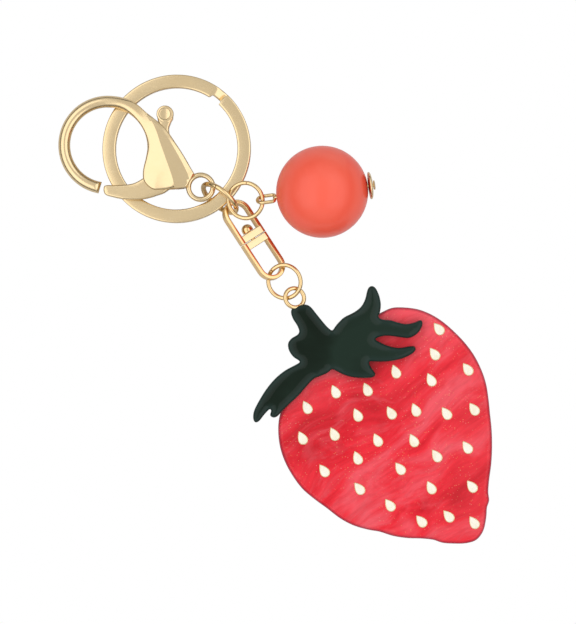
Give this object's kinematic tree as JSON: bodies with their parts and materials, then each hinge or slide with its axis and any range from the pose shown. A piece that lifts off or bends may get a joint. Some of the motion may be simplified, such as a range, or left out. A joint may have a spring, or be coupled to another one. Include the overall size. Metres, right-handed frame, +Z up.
{
  "type": "bag charm keychain",
  "caption": "Fruit-shaped bag charm with a flat split ring, sprung lobster clasp, round bead and swivel, joined by round wire links.",
  "frame": {"origin": "on the table, under the middle of the laid-out part's outline", "axes": "+Z up from the table it lies on, +Y towards the key ring's end, +X towards the bead and the charm's wide side"},
  "size_m": [0.1022, 0.1106, 0.0215],
  "materials": {
    "gold": "bright pale gold plate",
    "steel": "plain spring steel",
    "coral": "glossy coral pearl",
    "berry": "glossy marbled red sheet with fine glitter",
    "leaf": "glossy very dark green",
    "cream": "glossy cream enamel"
  },
  "bodies": {
    "hub": {"link_ring": "gold"},
    "key_ring": {"key_ring": "gold"},
    "clasp": {"clasp_body": "gold", "clasp_pin": "steel", "clasp_spring": "steel"},
    "lever": {"clasp_lever": "gold"},
    "bead_ring": {"bead_ring": "gold"},
    "head_pin": {"head_pin": "gold"},
    "bead": {"bead": "coral", "bead_cap": "gold"},
    "swivel_top": {"swivel_top": "gold"},
    "swivel_bottom": {"swivel_bottom": "gold", "swivel_rivet": "gold"},
    "charm_ring": {"charm_ring": "gold"},
    "charm": {"screw_eye": "gold", "berry_plate": "berry", "leaf_plate": "leaf", "seed_rims": "gold", "seed_inlays": "cream"}
  },
  "joints": [
    {"name": "clasp_swing", "type": "hinge", "parent": "hub", "child": "clasp", "pos_m": [-0.01475, 0.02791, 0.00585], "axis": [0.259, 0.9658, -0.0091], "range_deg": [0, 100]},
    {"name": "lever_pivot", "type": "hinge", "parent": "clasp", "child": "lever", "pos_m": [-0.02449, 0.03095, 0.00532], "axis": [-0.0474, 0.0221, 0.9986], "range_deg": [-25, 0], "stiffness_Nm_per_rad": 0.02, "springref_deg": 8.59},
    {"name": "key_ring_swing", "type": "hinge", "parent": "hub", "child": "key_ring", "pos_m": [-0.01413, 0.02477, 0.00355], "axis": [0.8186, 0.5742, 0.0127], "range_deg": [-90, 0]},
    {"name": "bead_ring_swing", "type": "hinge", "parent": "hub", "child": "bead_ring", "pos_m": [-0.00981, 0.02522, 0.0084], "axis": [0.4496, -0.6653, -0.596], "range_deg": [-45, 15]},
    {"name": "pin_swing", "type": "hinge", "parent": "bead_ring", "child": "head_pin", "pos_m": [-0.00296, 0.02558, 0.00929], "axis": [-0.062, 0.9927, 0.1033], "range_deg": [-100, 60]},
    {"name": "bead_spin", "type": "hinge", "parent": "head_pin", "child": "bead", "pos_m": [0.01095, 0.0274, 0.01077], "axis": [0.9869, 0.1247, 0.1028], "continuous": true},
    {"name": "swivel_swing", "type": "hinge", "parent": "hub", "child": "swivel_top", "pos_m": [-0.01029, 0.02432, 0.00467], "axis": [0.7551, 0.4904, -0.4352], "range_deg": [-15, 75]},
    {"name": "swivel_spin", "type": "hinge", "parent": "swivel_top", "child": "swivel_bottom", "pos_m": [-0.00571, 0.01727, 0.00467], "axis": [0.5446, -0.8387, 0], "continuous": true},
    {"name": "charm_ring_swing", "type": "hinge", "parent": "swivel_bottom", "child": "charm_ring", "pos_m": [0.00017, 0.00822, 0.00467], "axis": [0.7551, 0.4904, -0.4352], "range_deg": [-10, 80]},
    {"name": "charm_swing", "type": "hinge", "parent": "charm_ring", "child": "charm", "pos_m": [0.00424, 0.00316, 0.0048], "axis": [0.8031, 0.5107, 0.307], "range_deg": [-25, 35]}
  ]
}
